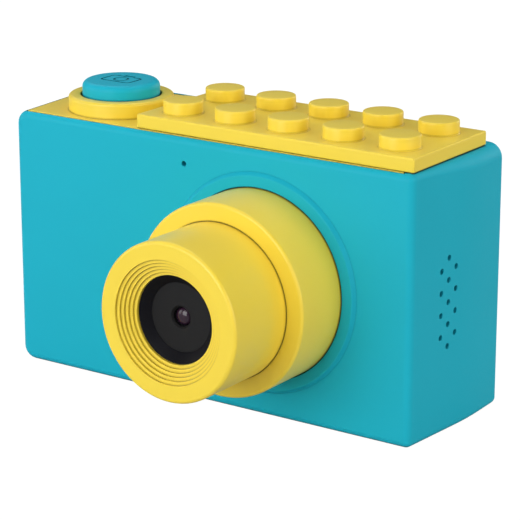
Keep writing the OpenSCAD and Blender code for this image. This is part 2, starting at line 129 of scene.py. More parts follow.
GLASS_BULGE = 0.8

# ---------------------------------------------------------------- top, in mm
BUTTON_BOX = box_mm("shutter_button")
COLLAR_BOX = box_mm("shutter_collar")
SHUTTER_AT = ((COLLAR_BOX[0].x + COLLAR_BOX[1].x) / 2, (COLLAR_BOX[0].y + COLLAR_BOX[1].y) / 2, 0)
COLLAR_R = (COLLAR_BOX[1].x - COLLAR_BOX[0].x) / 2
COLLAR_TOP = COLLAR_BOX[1].z
BUTTON_TOP = BUTTON_BOX[1].z
FLANGE = 0.6             # a button's hidden flange stands out from its cap by this
FLANGE_R = (BUTTON_BOX[1].x - BUTTON_BOX[0].x) / 2
BUTTON_R = FLANGE_R - FLANGE
FLANGE_GAP = 0.3
STEM_R = 1.5
FLANGE_H = 1.2           # thickness of the shutter button's flange
FLANGE_PLAY = 0.1        # between a flange and the lip or the wall above it
BUTTON_ROUND = 1.15
COLLAR_ROUND = 0.55
LIP_H = 1.0              # thickness of the collar's lip over the flange
LIP_GAP = 0.3            # between the lip and the cap of the button
SIGN_SIZE = (6.4, 4.4)   # of the frame of the sign on the shutter button
SIGN_LINE = 0.35
SIGN_ROUND = (0.9, 0.6)  # corners of the frame, outside and inside
SIGN_RING_R = 1.4
SIGN_HUMP = (2.2, 0.7)
SIGN_HUMP_AT = 2.5       # above the middle of the frame
PLATE_BOX = box_mm("brick_plate")
STUD_H = 2.2
PLATE_TOP = PLATE_BOX[1].z - STUD_H
STUD_R = 3.35
STUD_ROUND = 0.3
STUD_FOOT = 0.12         # slope where a stud meets the plate
PLATE_ROUND = 0.3
STUD_PITCH = (10.56, 12.0)
STUD_COUNT = (5, 2)
SIGN_DEPTH = 0.15        # the signs on the buttons are engraved this deep

# ---------------------------------------------------------------- back and left side, in mm
WINDOW_BOX = box_mm("screen_window")
LIGHT_BOX = box_mm("status_light")
KEYS = {
    "up_button": "up", "down_button": "down", "left_button": "left", "right_button": "right",
    "ok_button": "dot", "power_button": "power", "menu_button": "bars",
}
SCREW_X = 36.4
SCREW_Z = (4.2, 39.6)
SCREW_SINK = 1.0         # the screw heads lie this deep in the back
SCREW_HEAD_R = 1.8
SCREW_HEAD_H = 1.2
SCREW_SHANK_R = 0.97
SCREW_LEN = 16.0
CROSS_ARM = 1.1          # half the length of an arm pair of the cross recess
CROSS_HALF = 0.22        # half the width of an arm
CROSS_DEPTH = 0.6
KEY_FLANGE_H = 0.7
KEY_STEM_R = 1.0
KEY_ROUND = 0.35
KEY_GAP = 0.25           # round the cap of a rear button
MOUTH_SLOPE = 0.12       # the mouths of the rear holes are wider by this
WINDOW_GAP = 0.1         # round the window
WINDOW_R = 2.9
VIEW_MARGIN = (7.0, 5.2) # the opening behind the window is smaller by this
LIGHT_HOLE_R = 1.0
COVER_FACE = -WIDE_W + 0.1
COVER_SEAT = 1.2         # depth of the cover's seat
PIVOT_R = 0.25
PIVOT_LEN = 0.4
PIVOT_GAP = 0.08
RIB_LEN = 5.5
THUMB_R = 1.7            # notch for a fingertip at the memory card
THUMB_DEPTH = 0.6
SLOT_GAP = 0.3           # round the memory card and the socket
COVER_GAP = 0.15         # round the socket's cover

# ---------------------------------------------------------------- fineness of the meshes
ROUND_STEPS = 160
ARC_STEPS = 6
RIM_STEPS = 4
BOX_STEPS = 3
EDGE_STEPS = 8
BEND_STEPS = 6
ON_AXIS = 1e-6
OUTSIDE = 1.0            # a hole's cutter starts this far outside the surface

# ---------------------------------------------------------------- materials, light and camera
# Painted shade in gaps and inner corners: how far it looks, and the occlusion for full and no shade
CREVICE_REACH = 0.5      # in mm: how far away a surface counts as near
CREVICE_DARK = 0.4
CREVICE_OPEN = 0.9
AMBIENT = 0.09
AMBIENT_COLOUR = (0.85, 1.0, 1.15, 1)
FLOOR_COLOUR = (0.5, 0.5, 0.5, 1)
FLOOR_GLOW = 1.15
FLOOR_GLOW_SHARE = 0.86
FLOOR_R = 6000
LIGHT_SPREAD = 0.67      # side of a light for each metre that it stands away
LIT_AT = Vector((0, 0, 0.025))
CAMERA_AZIMUTH = 34.64
CAMERA_ELEVATION = 16.72
CAMERA_DISTANCE = 0.3728
CAMERA_LENS = 158.9
LOOK_AT = Vector((0.01149, FRONT_Y * MM - 0.00019, 0.02688))


# ---------------------------------------------------------------- mesh helpers
def fillet(corners, closed):
    """Turns corners (x, y, rounding) into points, with each rounded corner as an arc."""
    points = []
    count = len(corners)
    for i, (x, y, r) in enumerate(corners):
        here = Vector((x, y))
        if r == 0 or (not closed and i in (0, count - 1)):
            points.append(here)
            continue
        before = (Vector(corners[i - 1][:2]) - here).normalized()
        after = (Vector(corners[(i + 1) % count][:2]) - here).normalized()
        half = before.angle(after) / 2
        start = here + before * (r / math.tan(half))
        centre = here + (before + after).normalized() * (r / math.sin(half))
        sweep = (math.pi - 2 * half) / ARC_STEPS
        if before.cross(after) > 0:
            sweep = -sweep
        for k in range(ARC_STEPS + 1):
            points.append(centre + Matrix.Rotation(sweep * k, 2) @ (start - centre))
    return points


def lathe(corners, centre, axis, steps=ROUND_STEPS):
    """A solid of revolution. Corners are (radius, place along the axis, rounding); a profile that
    starts and ends on the axis is open, and any other is a closed loop."""
    closed = corners[0][0] > 0
    profile = fillet(corners, closed)
    bm = bmesh.new()
    rings = []
    for r, along in profile:
        count = 1 if r < ON_AXIS else steps
        ring = []
        for k in range(count):
            a = 2 * math.pi * k / steps
            across = (r * math.cos(a), r * math.sin(a))
            place = (across[0], along, across[1]) if axis == "y" else (*across, along)
            ring.append(bm.verts.new(Vector(place) + Vector(centre)))
        rings.append(ring)
    pairs = list(zip(rings, rings[1:] + rings[:1])) if closed else list(zip(rings, rings[1:]))
    for one, two in pairs:
        for k in range(steps):
            n = k + 1
            quad = [one[k % len(one)], one[n % len(one)], two[n % len(two)], two[k % len(two)]]
            corners_left = list(dict.fromkeys(quad))
            if len(corners_left) > 2:
                bm.faces.new(corners_left)
    bmesh.ops.recalc_face_normals(bm, faces=bm.faces)
    return bm


def loft(rings):
    """A closed skin through rings of equal length, with a flat face on each end."""
    bm = bmesh.new()
    made = [[bm.verts.new(p) for p in ring] for ring in rings]
    for one, two in zip(made, made[1:]):
        for k in range(len(one)):
            n = (k + 1) % len(one)
            bm.faces.new((one[k], one[n], two[n], two[k]))
    bm.faces.new(made[0])
    bm.faces.new(made[-1])
    bmesh.ops.recalc_face_normals(bm, faces=bm.faces)
    return bm


def prism(outline, low, high, axis="z", top_round=0.0, bottom_round=0.0):
    """An outline of (a, b) points drawn out along an axis, with its two rims rounded."""
    def place(a, b, h):
        return {"z": (a, b, h), "y": (a, h, b), "x": (h, a, b)}[axis]

    bm = bmesh.new()
    lower = [bm.verts.new(place(a, b, low)) for a, b in outline]
    upper = [bm.verts.new(place(a, b, high)) for a, b in outline]
    bm.faces.new(lower)
    bm.faces.new(upper)
    for k in range(len(outline)):
        n = (k + 1) % len(outline)
        bm.faces.new((lower[k], lower[n], upper[n], upper[k]))
    bmesh.ops.recalc_face_normals(bm, faces=bm.faces)
    for ring, width in ((upper, top_round), (lower, bottom_round)):
        if width:
            inside = set(ring)
            rim = [e for e in bm.edges if e.verts[0] in inside and e.verts[1] in inside]
            bmesh.ops.bevel(bm, geom=rim, offset=width, segments=RIM_STEPS, profile=0.5, affect="EDGES")
    return bm


def rounded_box(low, high, width):
    """A box with all its edges rounded by width, or a plain one where width is 0."""
    bm = bmesh.new()
    bmesh.ops.create_cube(bm, size=1)
    low, high = Vector(low), Vector(high)
    size = high - low
    half = Vector((0.5, 0.5, 0.5))
    for v in bm.verts:
        v.co = low + (v.co + half) * size
    if width:
        bmesh.ops.bevel(bm, geom=bm.edges[:], offset=width, segments=BOX_STEPS, profile=0.5, affect="EDGES")
    return bm


def round_rect(x, z, w, h, r):
    """Outline of a rounded rectangle round (x, z)."""
    corners = [(x - w / 2, z - h / 2, r), (x + w / 2, z - h / 2, r),
               (x + w / 2, z + h / 2, r), (x - w / 2, z + h / 2, r)]
    return fillet(corners, True)


def circle(x, z, r, steps=48):
    """Outline of a circle round (x, z)."""
    angles = [2 * math.pi * k / steps for k in range(steps)]
    return [(x + r * math.cos(a), z + r * math.sin(a)) for a in angles]


def to_object(name, bm):
    """Makes an object of a mesh that is still in millimetres."""
    bm.transform(Matrix.Scale(MM, 4))
    mesh = bpy.data.meshes.new(name)
    bm.to_mesh(mesh)
    bm.free()
    obj = bpy.data.objects.new(name, mesh)
    bpy.context.scene.collection.objects.link(obj)
    return obj


def join(parts):
    """Several meshes as one."""
    whole = bmesh.new()
    for bm in parts:
        piece = bpy.data.meshes.new("part")
        bm.to_mesh(piece)
        bm.free()
        whole.from_mesh(piece)
        bpy.data.meshes.remove(piece)
    return whole


def carve(bm, cutters, operation="DIFFERENCE"):
    """Cuts each of the meshes in cutters out of bm, or adds it, and gives the new mesh."""
    body = to_object("carved", bm)
    tools = []
    for cutter in cutters:
        tool = to_object("cutter", cutter)
        tools.append(tool)
        step = body.modifiers.new("cut", "BOOLEAN")
        step.operation = operation
        step.solver = "EXACT"
        step.object = tool
    shape = body.evaluated_get(bpy.context.evaluated_depsgraph_get())
    result = bmesh.new()
    result.from_mesh(bpy.data.meshes.new_from_object(shape))
    for obj in [body, *tools]:
        bpy.data.objects.remove(obj)
    result.transform(Matrix.Scale(1 / MM, 4))
    bmesh.ops.dissolve_degenerate(result, dist=1e-5, edges=result.edges)
    return result


def piece(name, bm, body, slot, material, replaces=(), sharp=38):
    """A finished, smoothly shaded piece that rides on a CAD body and stands for CAD nodes. Edges
    that turn by more than sharp degrees stay crisp."""
    obj = to_object(name, bm)
    mesh = obj.data
    mesh.materials.append(material)
    mesh.polygons.foreach_set("use_smooth", [True] * len(mesh.polygons))
    mesh.set_sharp_from_angle(angle=math.radians(sharp))
    even = obj.modifiers.new("even_normals", "WEIGHTED_NORMAL")
    even.keep_sharp = True
    even.weight = 80
    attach(obj, body)
    if replaces:
        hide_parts(*replaces)
    return obj


# ---------------------------------------------------------------- materials
def node_of(tree, kind, **inputs):
    """A shader node with its named inputs set."""
    node = tree.nodes.new(kind)
    for key, value in inputs.items():
        node.inputs[key.replace("_", " ")].default_value = value
    return node


def drifting_colour(tree, place, colour, tone):
    """A colour that drifts a little lighter and darker over the piece."""
    drift = node_of(tree, "ShaderNodeTexNoise", Scale=60.0, Detail=3.0)
    tree.links.new(place, drift.inputs["Vector"])
    shade = tree.nodes.new("ShaderNodeMix")
    shade.data_type = "RGBA"
    shade.inputs[6].default_value = (*[c * (1 - tone) for c in colour], 1)
    shade.inputs[7].default_value = (*[min(1, c * (1 + tone)) for c in colour], 1)
    tree.links.new(drift.outputs["Fac"], shade.inputs[0])
    return shade.outputs[2]


def painted_crevice_shade(tree, colour, crevice_shade):
    """The same colour with painted shade, darker in narrow gaps and inner corners."""
    corner = node_of(tree, "ShaderNodeAmbientOcclusion", Distance=CREVICE_REACH * MM)
    corner.samples = 8
    depth = node_of(tree, "ShaderNodeMapRange", From_Min=CREVICE_DARK, From_Max=CREVICE_OPEN,
                    To_Min=1 - crevice_shade, To_Max=1.0)
    tree.links.new(corner.outputs["AO"], depth.inputs["Value"])
    dark = tree.nodes.new("ShaderNodeVectorMath")
    dark.operation = "SCALE"
    tree.links.new(colour, dark.inputs[0])
    tree.links.new(depth.outputs["Result"], dark.inputs["Scale"])
    return dark.outputs["Vector"]


def moulded_grain(tree, place, roughness, grain, grain_depth):
    """Uneven gloss and a fine grain, as (roughness, normal). Sizes are in mm."""
    fine = node_of(tree, "ShaderNodeTexNoise", Scale=1 / (grain * MM), Detail=2.0)
    tree.links.new(place, fine.inputs["Vector"])
    gloss = node_of(tree, "ShaderNodeMapRange", From_Min=0.3, From_Max=0.7,
                    To_Min=roughness - 0.04, To_Max=roughness + 0.04)
    tree.links.new(fine.outputs["Fac"], gloss.inputs["Value"])
    bump = node_of(tree, "ShaderNodeBump", Strength=1.0, Distance=grain_depth * MM)
    tree.links.new(fine.outputs["Fac"], bump.inputs["Height"])
    return gloss.outputs["Result"], bump.outputs["Normal"]


def plastic(name, colour, roughness, grain=0.35, grain_depth=0.004, tone=0.03, metallic=0.0,
            coat=0.0, specular=0.5, sheen=0.0, crevice_shade=0.0):
    """Moulded plastic: a faint drift of tone, uneven gloss, a fine spark-eroded grain and
    painted shade in narrow gaps and inner corners. grain is the grain's size and grain_depth its
    depth, both in mm. The crevice setting is how much the painted shade darkens the plastic there."""
    material = bpy.data.materials.new(name)
    material.use_nodes = True
    tree = material.node_tree
    shader = tree.nodes["Principled BSDF"]
    shader.inputs["Metallic"].default_value = metallic
    shader.inputs["Specular IOR Level"].default_value = specular
    shader.inputs["Coat Weight"].default_value = coat
    shader.inputs["Sheen Weight"].default_value = sheen
    place = tree.nodes.new("ShaderNodeTexCoord").outputs["Object"]
    shown = drifting_colour(tree, place, colour, tone)
    if crevice_shade:
        shown = painted_crevice_shade(tree, shown, crevice_shade)
    gloss, normal = moulded_grain(tree, place, roughness, grain, grain_depth)
    tree.links.new(shown, shader.inputs["Base Color"])
    tree.links.new(gloss, shader.inputs["Roughness"])
    tree.links.new(normal, shader.inputs["Normal"])
    return material


def metal(name, colour, roughness):
    """Plated or bare metal with a fine grain."""
    return plastic(name, colour, roughness, grain=0.2, grain_depth=0.002, tone=0.06, metallic=1.0)


# Teal and yellow get painted shade in narrow gaps and inner corners.
TEAL = plastic("teal_plastic", (0.014, 0.462, 0.602), 0.42, specular=0.12, crevice_shade=0.9)
YELLOW = plastic("yellow_plastic", (0.97, 0.72, 0.058), 0.34, specular=0.5, sheen=0.05, crevice_shade=0.6)
BLACK = plastic("black_plastic", (0.004, 0.004, 0.007), 0.5, grain=0.2, specular=0.15)
DARK = plastic("dark_plastic", (0.010, 0.010, 0.011), 0.55, grain=0.15, specular=0.2)
RUBBER = plastic("teal_rubber", (0.018, 0.42, 0.545), 0.65, grain=0.25, grain_depth=0.006, specular=0.3)
# The glass is dark; the purple tint of its colour is a painted reflection of the lens coating.
GLASS = plastic("coated_glass", (0.030, 0.012, 0.026), 0.16, grain_depth=0.0002, specular=0.5)
WINDOW = plastic("window_plastic", (0.006, 0.006, 0.008), 0.08, grain_depth=0.0002, coat=0.5)
STEEL = metal("steel", (0.60, 0.60, 0.62), 0.3)
BOARD = plastic("circuit_board", (0.01, 0.13, 0.04), 0.35, grain=0.5, tone=0.15)
CHIP = plastic("chip", (0.015, 0.015, 0.017), 0.45, grain=0.15)
FILM = plastic("flex_film", (0.42, 0.17, 0.03), 0.3, tone=0.1)
FOIL = plastic("battery_foil", (0.62, 0.64, 0.68), 0.35, tone=0.08, metallic=0.8)
DISPLAY = plastic("display", (0.012, 0.013, 0.018), 0.15, grain_depth=0.0005)
CARD = plastic("card_plastic", (0.015, 0.015, 0.016), 0.35)
GUIDE = plastic("light_guide", (0.75, 0.80, 0.75), 0.3)

SLOT_MATERIALS = {
    "teal_plastic": TEAL, "yellow_plastic": YELLOW, "black_plastic": BLACK, "dark_plastic": DARK,
    "coated_glass": GLASS, "chip": CHIP, "circuit_board": BOARD, "flex_film": FILM,
    "battery_foil": FOIL, "spring_steel": STEEL, "steel": STEEL, "display": DISPLAY,
    "window_plastic": WINDOW, "card_plastic": CARD, "teal_rubber": RUBBER, "light_guide": GUIDE,
}


def finish_cad_nodes():
    """Gives every CAD node the material of its slot in the record."""
    for row in frame["record"]["subparts"]:
        mesh = frame["nodes"][row["node"]].data
        mesh.materials.clear()
        mesh.materials.append(SLOT_MATERIALS[row["material_slot"]])


# ---------------------------------------------------------------- case
def side_at(depth):
    """Half the case's width at a depth. The sides widen to the joint, bend softly and close in again."""
    joint = JOINT_Y - FRONT_Y
    widening = SIDE_DRAFT / (joint - EDGE_R)
    closing = (BACK_W - WIDE_W) / (BACK_Y - JOINT_Y)
    past = depth - joint
    if past > BEND:
        return WIDE_W + closing * past
    side = WIDE_W + widening * max(past, EDGE_R - joint)
    if past > -BEND:
        side += (closing - widening) * (past + BEND) ** 2 / (4 * BEND)
    return side


def case_ring(depth, inset, wall=0.0):
    """The case's outline at a depth behind the front face, drawn in by inset and by a wall."""
    joint = JOINT_Y - FRONT_Y
    half = side_at(depth)
    low = REAR_RISE * max(0.0, (depth - joint) / (BACK_Y - JOINT_Y))
    share = min(1.0, max(0.0, (depth - EDGE_R) / (joint - EDGE_R)))
    top_right_r = TIGHT_R + (WIDE_R - TIGHT_R) * share
    cut = inset + wall
    x, bottom, top = half - cut, low + cut, TOP_Z - cut
    radii = [max(r - cut, LEAST_R) for r in (LEFT_R, LOW_RIGHT_R, top_right_r, LEFT_R)]
    corners = [(-x, bottom, radii[0]), (x, bottom, radii[1]), (x, top, radii[2]), (-x, top, radii[3])]
    return [(a, FRONT_Y + depth, b) for a, b in fillet(corners, True)]


def edge_rings(depth, radius, towards):
    """Rings round a rounded rim whose flat face lies at a depth; towards is +1 for the front rim."""
    rings = []
    for k in range(EDGE_STEPS + 1):
        a = math.pi / 2 * k / EDGE_STEPS
        rings.append(case_ring(depth + towards * radius * (1 - math.cos(a)), radius * (1 - math.sin(a))))
    return rings


def bend_rings(towards):
    """Rings over the soft bend, from the joint; towards is -1 on the front shell."""
    depths = [JOINT_Y - FRONT_Y + towards * BEND * k / BEND_STEPS for k in range(BEND_STEPS + 1)]
    return [case_ring(depth, 0) for depth in depths]


def inlay_outline(gap):
    """Outline of the yellow inlay seen from above, with a gap round it."""
    low, high = box_mm("top_cover")
    edge = low.x + WIDE_W
    return [(-HALF_W + edge - gap, low.y - gap), (high.x + gap, low.y - gap),
            (high.x + gap, high.y + gap), (-BACK_W + edge - gap, high.y + gap),
            (-WIDE_W + edge - gap, JOINT_Y)]


def inlay_pocket():
    """The space that the yellow inlay needs, with 0.1 mm under it."""
    return prism(inlay_outline(SEAM), TOP_Z - INLAY_H - 0.1, TOP_Z + 2)


def hole(x, z, r, start, end, flare=0.0):
    """A round cutter along Y. Its mouth widens by flare where it meets the surface at start."""
    towards = 1 if end > start else -1
    outside = start - towards * OUTSIDE
    mouth_r = r + flare + OUTSIDE if flare else r
    corners = [(0, outside, 0), (mouth_r, outside, 0)]
    if flare:
        corners.append((r, start + towards * flare, 0))
    corners += [(r, end, 0), (0, end, 0)]
    return lathe(corners, (x, 0, z), "y", 48)


def lens_boss():
    """The low round step that the front face makes round the lens."""
    crest = FRONT_Y - BOSS_RISE
    inside = FRONT_Y + WALL / 2
    return lathe([(OUTER_R - BARREL_WALL, inside, 0), (OUTER_R - BARREL_WALL, crest, 0),
                  (BOSS_TOP_R, crest, 0.3), (BOSS_FOOT_R, FRONT_Y, 0),
                  (BOSS_FOOT_R + 0.5, inside, 0)], LENS_AT, "y")


def lens_bore():
    """The round opening for the wide barrel, with a small slope at its mouth."""
    r = OUTER_R + BOSS_GAP
    mouth = FRONT_Y - BOSS_RISE + 0.1
    return lathe([(0, FRONT_Y - 5, 0), (r + 5, FRONT_Y - 5, 0), (r, mouth, 0),
                  (r, FRONT_Y + 5, 0), (0, FRONT_Y + 5, 0)], LENS_AT, "y")


def speaker_hole(column, row):
    """One of the small holes in front of the speaker, in the right-hand wall."""
    y = FRONT_Y + SPEAKER_DEPTH + SPEAKER_STEP[0] * column
    z = SPEAKER_Z + SPEAKER_STEP[1] * row
    return prism(circle(y, z, SPEAKER_R, 20), HALF_W - 3, HALF_W + 5, "x")


def speaker_holes():
    """A column of five holes between two columns of four."""
    holes = [speaker_hole(0, k - 2) for k in range(5)]
    return holes + [speaker_hole(side, k - 1.5) for side in (-1, 1) for k in range(4)]


def front_shell():
    """The front half of the case, with its inlay pocket, lens opening and small holes."""
    joint = JOINT_Y - FRONT_Y
    outside = edge_rings(0.0, EDGE_R, 1) + bend_rings(-1)[::-1]
    inside = [case_ring(joint, 0, WALL), case_ring(WALL, 0, WALL)]
    shell = carve(loft(outside + inside), [lens_boss()], "UNION")
    microphone = hole(*MIC_AT, MIC_R, FRONT_Y, FRONT_Y + 3, MIC_SLOPE)
    return carve(shell, [inlay_pocket(), lens_bore(), microphone, *speaker_holes()])


def rear_shell():
    """The rear half of the case, with the openings in its back and its left side."""
    joint, back = JOINT_Y - FRONT_Y, BACK_Y - FRONT_Y
    outside = edge_rings(back, REAR_EDGE_R, -1) + bend_rings(1)[::-1]
    inside = [case_ring(joint, 0, WALL), case_ring(back - WALL, 0, WALL)]
    return carve(loft(outside + inside), [inlay_pocket(), *rear_openings(), *side_openings()])


# ---------------------------------------------------------------- back of the case
def middle(node):
    """The middle of a CAD node, seen from the front, as (x, z)."""
    low, high = box_mm(node)
    return (low.x + high.x) / 2, (low.z + high.z) / 2


def key_radius(node):
    """Radius of a rear button's cap, inside its flange."""
    low, high = box_mm(node)
    return (high.x - low.x) / 2 - FLANGE


def rear_openings():
    """Cutters for the screen, the buttons, the light guide and the screws."""
    x, z = middle("screen_window")
    w, h = WINDOW_BOX[1].x - WINDOW_BOX[0].x, WINDOW_BOX[1].z - WINDOW_BOX[0].z
    seat = WINDOW_BOX[0].y
    gap = 2 * WINDOW_GAP
    around = round_rect(x, z, w + gap, h + gap, WINDOW_R + WINDOW_GAP)
    view = round_rect(x, z, w - VIEW_MARGIN[0], h - VIEW_MARGIN[1], 1)
    cutters = [prism(around, seat, BACK_Y + 3, "y"), prism(view, BACK_Y - 4, BACK_Y + 3, "y")]
    for node in KEYS:
        kx, kz = middle(node)
        cutters.append(hole(kx, kz, key_radius(node) + KEY_GAP, BACK_Y, BACK_Y - 3, MOUTH_SLOPE))
    cutters.append(hole(*middle("status_light"), LIGHT_HOLE_R, BACK_Y, BACK_Y - 3, 0.05))
    for sx in (-SCREW_X, SCREW_X):
        for sz in SCREW_Z:
            depth = SCREW_SINK + SCREW_HEAD_H
            cutters.append(hole(sx, sz, SCREW_HEAD_R + 0.2, BACK_Y, BACK_Y - depth, MOUTH_SLOPE))
    return cutters


def grown_box(low, high, out, depth, gap):
    """A cutter round a CAD node in the left wall: from out inwards, with a gap round the node."""
    return rounded_box((out, low.y - gap, low.z - gap), (out + depth, high.y + gap, high.z + gap), 0)


def side_openings():
    """Cutters for the memory card slot and the socket with its cover seat, in the left wall."""
    card_low, card_high = box_mm("memory_card")
    cover_low, cover_high = box_mm("usb_cover")
    out = -WIDE_W - 2
    slot = grown_box(card_low, card_high, out, 5, SLOT_GAP)
    middle_y, middle_z = (card_low.y + card_high.y) / 2, (card_low.z + card_high.z) / 2
    notch = prism(circle(middle_y, middle_z, THUMB_R, 32), out, -WIDE_W + THUMB_DEPTH, "x")
    end_gap = COVER_GAP - PIVOT_LEN
    seat = rounded_box((out, cover_low.y - COVER_GAP, cover_low.z - end_gap),
                       (-WIDE_W + COVER_SEAT, cover_high.y + COVER_GAP, cover_high.z + end_gap), 0)
    mouth = grown_box(*box_mm("usb_socket"), out, 5, SLOT_GAP)
    return [slot, notch, seat, mouth, cover_pivot(PIVOT_R + PIVOT_GAP, PIVOT_GAP)]


# ---------------------------------------------------------------- top of the case
def top_cover():
    """The yellow inlay, with the round opening for the shutter button."""
    plate = prism(inlay_outline(0), TOP_Z - INLAY_H, TOP_Z, "z", top_round=0.15)
    r = FLANGE_R + FLANGE_GAP
    low, high = TOP_Z - 3, TOP_Z + 1
    opening = lathe([(0, low, 0), (r, low, 0), (r, high, 0), (0, high, 0)], SHUTTER_AT, "z")
    return carve(plate, [opening])


def stud(x, y):
    """One round stud, with a small slope where it meets the plate."""
    low, high = PLATE_TOP - 0.5, PLATE_BOX[1].z
    foot_r = STUD_R + STUD_FOOT
    return lathe([(0, low, 0), (foot_r, low, 0), (foot_r, PLATE_TOP, 0), (STUD_R, PLATE_TOP + STUD_FOOT, 0),
                  (STUD_R, high, STUD_ROUND), (0, high, 0)], (x, y, 0), "z", 96)


def brick_plate():
    """The raised plate with its rows of studs."""
    low, high = PLATE_BOX
    body = rounded_box((low.x, low.y, TOP_Z), (high.x, high.y, PLATE_TOP), PLATE_ROUND)
    cx, cy = (low.x + high.x) / 2, (low.y + high.y) / 2
    studs = []
    for i in range(STUD_COUNT[0]):
        for j in range(STUD_COUNT[1]):
            x = cx + (i - (STUD_COUNT[0] - 1) / 2) * STUD_PITCH[0]
            y = cy + (j - (STUD_COUNT[1] - 1) / 2) * STUD_PITCH[1]
            studs.append(stud(x, y))
    return carve(body, studs, "UNION")


def shutter_collar():
    """The ring round the shutter button. Its lip holds the button's flange down."""
    lip = BUTTON_R + LIP_GAP
    step = COLLAR_TOP - LIP_H
    wide = FLANGE_R + FLANGE_GAP
    return lathe([(COLLAR_R, TOP_Z, 0), (COLLAR_R, COLLAR_TOP, COLLAR_ROUND), (lip, COLLAR_TOP, 0.2),
                  (lip, step, 0), (wide, step, 0), (wide, TOP_Z, 0)], SHUTTER_AT, "z")


def camera_sign():
    """Cutters for a plain camera sign: a rounded frame with a hump, and a ring in its middle."""
    low, high = BUTTON_TOP - SIGN_DEPTH, BUTTON_TOP + 1
    x, y = SHUTTER_AT[0], SHUTTER_AT[1]
    wide, tall = SIGN_SIZE

    def ring(outer, inner):
        return carve(prism(outer, low, high), [prism(inner, low - 1, high + 1)])

    outer = round_rect(x, y, wide, tall, SIGN_ROUND[0])
    inner = round_rect(x, y, wide - 2 * SIGN_LINE, tall - 2 * SIGN_LINE, SIGN_ROUND[1])
    lens_sign = ring(circle(x, y, SIGN_RING_R), circle(x, y, SIGN_RING_R - SIGN_LINE))
    hump = prism(round_rect(x, y + SIGN_HUMP_AT, *SIGN_HUMP, 0.2), low, high)
    return [ring(outer, inner), lens_sign, hump]


def shutter_button():
    """The shutter button: a stem, a flange under the collar's lip and a rounded cap."""
    low = BUTTON_BOX[0].z
    flange_top = COLLAR_TOP - LIP_H - FLANGE_PLAY
    flange_low = flange_top - FLANGE_H
    button = lathe([(0, low, 0), (STEM_R, low, 0.2), (STEM_R, flange_low, 0), (FLANGE_R, flange_low, 0.2),
                    (FLANGE_R, flange_top, 0.2), (BUTTON_R, flange_top, 0),
                    (BUTTON_R, BUTTON_TOP, BUTTON_ROUND), (0, BUTTON_TOP, 0)], SHUTTER_AT, "z")
    return carve(button, camera_sign())


# ---------------------------------------------------------------- lens
def outer_barrel():
    """The wide barrel, with the bore that the narrow one sits in and a flange behind the front wall."""
    bore_r, bore_end = INNER_R + BARREL_GAP, OUTER_Y + BARREL_SEAT
    flange_r, flange_y = OUTER_R + BARREL_FLANGE, FRONT_Y + WALL
    inside = flange_y + BARREL_FLANGE_H
    tube_r = INNER_R - BARREL_WALL
    return lathe([(OUTER_R, flange_y, 0), (OUTER_R, OUTER_Y, OUTER_ROUND), (bore_r, OUTER_Y, 0.1),
                  (bore_r, bore_end, 0), (tube_r, bore_end, 0), (tube_r, inside, 0),
                  (flange_r, inside, 0), (flange_r, flange_y, 0)], LENS_AT, "y")


def inner_barrel():
    """The narrow barrel: a flat rim, a stepped cone inside it and a plain tube behind."""
    back, tube_end = LENS_BOX[1].y, RIM_Y + CONE_DEPTH + TUBE_DEPTH
    corners = [(INNER_R, back, 0), (INNER_R, RIM_Y, INNER_ROUND), (CONE_R, RIM_Y, 0.1)]
    run = (CONE_R - MOUTH_R) / CONE_STEPS
    rise = CONE_DEPTH / CONE_STEPS
    for k in range(CONE_STEPS):
        corners.append((CONE_R - run * k, RIM_Y + rise * (k + 1), 0))
        corners.append((CONE_R - run * (k + 1), RIM_Y + rise * (k + 1), 0.08))
    tube_r = INNER_R - BARREL_WALL
    corners += [(MOUTH_R, tube_end, 0), (tube_r, tube_end, 0), (tube_r, back, 0)]
    return lathe(corners, LENS_AT, "y")


def lens_shroud():
    """The black cup: a straight cone from the mouth of the barrel down to the disc."""
    low, high = box_mm("lens_shroud")
    bottom = box_mm("lens_disc")[0].y - 0.02
    outer_r, bottom_r = MOUTH_R - 0.05, DISC_R + 0.02
    return lathe([(outer_r, high.y, 0), (outer_r, low.y, 0), (MOUTH_R - 0.2, low.y, 0.08),
                  (bottom_r, bottom, 0), (bottom_r, high.y, 0)], LENS_AT, "y")


def lens_disc():
    """The grey disc at the bottom of the cup, with a countersunk hole for the glass."""
    low, high = box_mm("lens_disc")
    sink = 0.3
    return lathe([(DISC_R, low.y, 0.05), (DISC_HOLE_R + sink, low.y, 0.15), (DISC_HOLE_R, low.y + 0.35, 0),
                  (DISC_HOLE_R, high.y, 0), (DISC_R, high.y, 0)], LENS_AT, "y")


def front_lens():
    """The small glass lens, with a domed front."""
    low, high = box_mm("front_lens")
    dome = []
    for k in range(13):
        a = math.pi / 2 * k / 12
        dome.append((GLASS_R * math.sin(a), low.y + GLASS_BULGE * (1 - math.cos(a)), 0))
    return lathe(dome + [(GLASS_R, high.y, 0), (0, high.y, 0)], LENS_AT, "y", 64)


# ---------------------------------------------------------------- back pieces
def screen_window():
    """The clear cover of the screen, a plate with round corners."""
    x, z = middle("screen_window")
    low, high = WINDOW_BOX
    outline = round_rect(x, z, high.x - low.x, high.z - low.z, WINDOW_R)
    return prism(outline, low.y, high.y, "y", top_round=0.25)


def power_sign(x, z, low, high):
    """Cutters for a ring that is open at its top, with a bar in the opening."""
    outer_r, inner_r, half_gap = 1.15, 0.8, 0.35
    ring = carve(prism(circle(x, z, outer_r), low, high, "y"),
                 [prism(circle(x, z, inner_r), low - 1, high + 1, "y")])
    ring = carve(ring, [rounded_box((x - half_gap, low - 1, z), (x + half_gap, high + 1, z + 2), 0)])
    return [ring, prism(round_rect(x, z + 0.7, 0.3, 1.3, 0.09), low, high, "y")]


